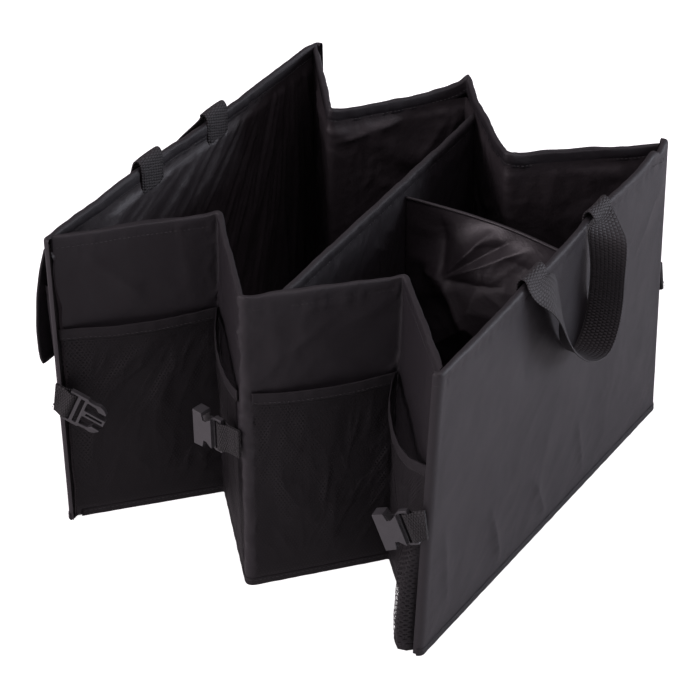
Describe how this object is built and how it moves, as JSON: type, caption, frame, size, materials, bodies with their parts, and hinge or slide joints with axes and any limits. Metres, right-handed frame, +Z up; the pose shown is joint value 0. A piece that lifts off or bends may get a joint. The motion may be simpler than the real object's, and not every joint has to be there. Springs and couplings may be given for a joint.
{
  "type": "car trunk organizer",
  "caption": "Half-folded car trunk organizer of black cloth over stiff boards, with net pockets, carrying handles and side-release buckles.",
  "frame": {"origin": "On the floor under the middle of the whole part's bounding box.", "axes": "X runs across the compartments from the rear panel to the front panel, Y along the panels from the near end to the far end, Z up."},
  "size_m": [0.432, 0.4362, 0.2766],
  "materials": {
    "cover": "woven polyester, matt",
    "lining": "thin satin, crinkled",
    "board": "plain board",
    "net": "hexagonal net",
    "strap": "ribbed webbing",
    "buckle": "moulded, fine grain"
  },
  "bodies": {
    "organizer": {"rear_panel_cover": "cover", "rear_panel_board": "board", "rear_panel_lining": "lining", "front_panel_cover": "cover", "front_panel_board": "board", "front_panel_lining": "lining", "near_end_cover": "cover", "near_end_lining": "lining", "near_end_board_1": "board", "near_end_board_2": "board", "near_end_board_3": "board", "near_end_board_4": "board", "near_rear_pocket_net": "net", "near_rear_pocket_binding": "cover", "near_front_pocket_net": "net", "near_front_pocket_binding": "cover", "far_end_cover": "cover", "far_end_lining": "lining", "far_end_board_1": "board", "far_end_board_2": "board", "far_end_board_3": "board", "far_end_board_4": "board", "far_front_pocket_net": "net", "far_front_pocket_binding": "cover", "far_rear_pocket_net": "net", "far_rear_pocket_binding": "cover", "middle_divider_cover": "cover", "middle_divider_board": "board", "rear_base_cloth": "cover", "front_base_cloth": "cover", "cross_divider": "lining", "rear_pouch": "cover", "rear_flap": "cover", "front_handle": "strap", "rear_handle": "strap", "near_rear_tab": "strap", "near_middle_tab": "strap", "near_front_tab": "strap", "far_rear_tab": "strap", "far_middle_tab": "strap", "far_front_tab": "strap"},
    "near_rear_buckle_body": {"near_rear_buckle": "buckle"},
    "near_middle_buckle_body": {"near_middle_buckle": "buckle"},
    "near_front_buckle_body": {"near_front_buckle": "buckle"},
    "far_rear_buckle_body": {"far_rear_buckle": "buckle"},
    "far_middle_buckle_body": {"far_middle_buckle": "buckle"},
    "far_front_buckle_body": {"far_front_buckle": "buckle"}
  },
  "joints": [
    {"name": "near_rear_buckle_swing", "type": "hinge", "parent": "organizer", "child": "near_rear_buckle_body", "pos_m": [-0.1518, -0.19482, 0.12112], "axis": [0.3946, 0.0984, 0.9135], "range_deg": [-70, 20]},
    {"name": "near_middle_buckle_swing", "type": "hinge", "parent": "organizer", "child": "near_middle_buckle_body", "pos_m": [-0.00911, -0.19078, 0.13767], "axis": [-0.0171, 0.0036, 0.9998], "range_deg": [-20, 70]},
    {"name": "near_front_buckle_swing", "type": "hinge", "parent": "organizer", "child": "near_front_buckle_body", "pos_m": [0.16768, -0.20949, 0.1295], "axis": [-0.3718, -0.0457, 0.9272], "range_deg": [-20, 70]},
    {"name": "far_rear_buckle_swing", "type": "hinge", "parent": "organizer", "child": "far_rear_buckle_body", "pos_m": [-0.1468, 0.2128, 0.12112], "axis": [0.3946, -0.0984, 0.9135], "range_deg": [-20, 70]},
    {"name": "far_middle_buckle_swing", "type": "hinge", "parent": "organizer", "child": "far_middle_buckle_body", "pos_m": [-0.02562, 0.20112, 0.13767], "axis": [-0.0171, -0.0036, 0.9998], "range_deg": [-70, 20]},
    {"name": "far_front_buckle_swing", "type": "hinge", "parent": "organizer", "child": "far_front_buckle_body", "pos_m": [0.17243, 0.20282, 0.1295], "axis": [-0.3718, 0.0457, 0.9272], "range_deg": [-70, 20]}
  ]
}
